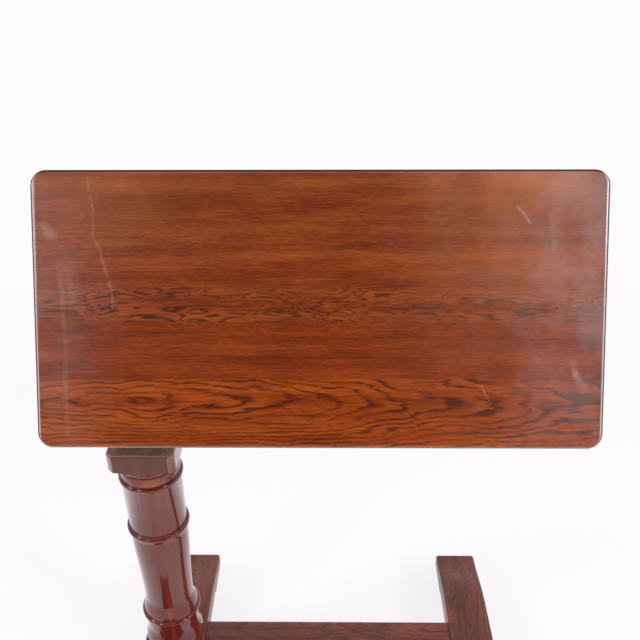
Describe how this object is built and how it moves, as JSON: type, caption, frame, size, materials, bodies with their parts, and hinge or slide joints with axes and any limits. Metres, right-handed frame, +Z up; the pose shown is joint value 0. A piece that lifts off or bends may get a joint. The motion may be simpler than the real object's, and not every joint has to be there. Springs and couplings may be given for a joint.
{
  "type": "tilt-top reading table",
  "caption": "Oak reading table with an oblong top that tilts on a clamped pivot, on a square post sliding in a turned column set near one end, over a castered base.",
  "frame": {"origin": "on the floor under the middle of the top's length, in line with the column's axis from front to back", "axes": "+X along the top to the reader's right, +Y away from the reader, +Z up"},
  "size_m": [0.762, 0.42, 1.0102],
  "materials": {
    "top_oak": "stained and polished",
    "column_oak": "dark stain, polished",
    "frame_oak": "dark stain, dull",
    "brass": "aged",
    "steel": "dull",
    "leather": "plain"
  },
  "bodies": {
    "base": {"column": "column_oak", "clamp_bush": "brass", "clamp_shoe": "brass", "foot_left": "frame_oak", "foot_right": "frame_oak", "stretcher": "frame_oak", "stretcher_peg_left": "frame_oak", "stretcher_peg_right": "frame_oak", "caster_plate_front_left": "brass", "caster_plate_back_left": "brass", "caster_plate_front_right": "brass", "caster_plate_back_right": "brass"},
    "post": {"post": "frame_oak", "post_head": "frame_oak", "head_peg": "frame_oak"},
    "top": {"front_board": "top_oak", "second_board": "top_oak", "third_board": "top_oak", "back_board": "top_oak", "bearer": "frame_oak", "cleat_left": "frame_oak", "cleat_right": "frame_oak", "cheek_left": "frame_oak", "cheek_right": "frame_oak", "bearer_screw_1": "steel", "bearer_screw_2": "steel", "bearer_screw_3": "steel", "bearer_screw_4": "steel", "cleat_screw_1": "steel", "cleat_screw_2": "steel", "cleat_screw_3": "steel", "cleat_screw_4": "steel", "cleat_screw_5": "steel", "cleat_screw_6": "steel", "cleat_screw_7": "steel", "cleat_screw_8": "steel", "cheek_screw_1": "steel", "cheek_screw_2": "steel", "cheek_screw_3": "steel", "cheek_screw_4": "steel", "pivot_bolt": "steel", "friction_disc_left": "leather", "friction_disc_right": "leather", "bolt_washer_left": "steel", "bolt_washer_right": "steel"},
    "tilt_clamp": {"wing_nut": "brass"},
    "height_clamp": {"clamp_screw": "brass"},
    "caster_front_left": {"caster_horn_front_left": "brass", "caster_axle_front_left": "steel"},
    "wheel_front_left": {"caster_wheel_front_left": "brass"},
    "caster_back_left": {"caster_horn_back_left": "brass", "caster_axle_back_left": "steel"},
    "wheel_back_left": {"caster_wheel_back_left": "brass"},
    "caster_front_right": {"caster_horn_front_right": "brass", "caster_axle_front_right": "steel"},
    "wheel_front_right": {"caster_wheel_front_right": "brass"},
    "caster_back_right": {"caster_horn_back_right": "brass", "caster_axle_back_right": "steel"},
    "wheel_back_right": {"caster_wheel_back_right": "brass"}
  },
  "joints": [
    {"name": "height", "type": "slide", "parent": "base", "child": "post", "axis": [0, 0, 1], "range_m": [-0.152, 0.088]},
    {"name": "tilt", "type": "hinge", "parent": "post", "child": "top", "pos_m": [-0.278, 0, 0.812], "axis": [1, 0, 0], "range_deg": [-64, 24]},
    {"name": "tilt_clamp_turn", "type": "hinge", "parent": "top", "child": "tilt_clamp", "pos_m": [-0.22, 0, 0.812], "axis": [1, 0, 0], "range_deg": [0, 270]},
    {"name": "height_clamp_turn", "type": "hinge", "parent": "base", "child": "height_clamp", "pos_m": [-0.278, 0.06, 0.5615], "axis": [0, 1, 0], "range_deg": [0, 270]},
    {"name": "caster_swivel_front_left", "type": "hinge", "parent": "base", "child": "caster_front_left", "pos_m": [-0.278, -0.172, 0], "axis": [0, 0, 1], "continuous": true},
    {"name": "wheel_spin_front_left", "type": "hinge", "parent": "caster_front_left", "child": "wheel_front_left", "pos_m": [-0.278, -0.186, 0.01785], "axis": [1, 0, 0], "continuous": true},
    {"name": "caster_swivel_back_left", "type": "hinge", "parent": "base", "child": "caster_back_left", "pos_m": [-0.278, 0.172, 0], "axis": [0, 0, 1], "continuous": true},
    {"name": "wheel_spin_back_left", "type": "hinge", "parent": "caster_back_left", "child": "wheel_back_left", "pos_m": [-0.278, 0.186, 0.01785], "axis": [1, 0, 0], "continuous": true},
    {"name": "caster_swivel_front_right", "type": "hinge", "parent": "base", "child": "caster_front_right", "pos_m": [0.285, -0.172, 0], "axis": [0, 0, 1], "continuous": true},
    {"name": "wheel_spin_front_right", "type": "hinge", "parent": "caster_front_right", "child": "wheel_front_right", "pos_m": [0.285, -0.186, 0.01785], "axis": [1, 0, 0], "continuous": true},
    {"name": "caster_swivel_back_right", "type": "hinge", "parent": "base", "child": "caster_back_right", "pos_m": [0.285, 0.172, 0], "axis": [0, 0, 1], "continuous": true},
    {"name": "wheel_spin_back_right", "type": "hinge", "parent": "caster_back_right", "child": "wheel_back_right", "pos_m": [0.285, 0.186, 0.01785], "axis": [1, 0, 0], "continuous": true}
  ]
}
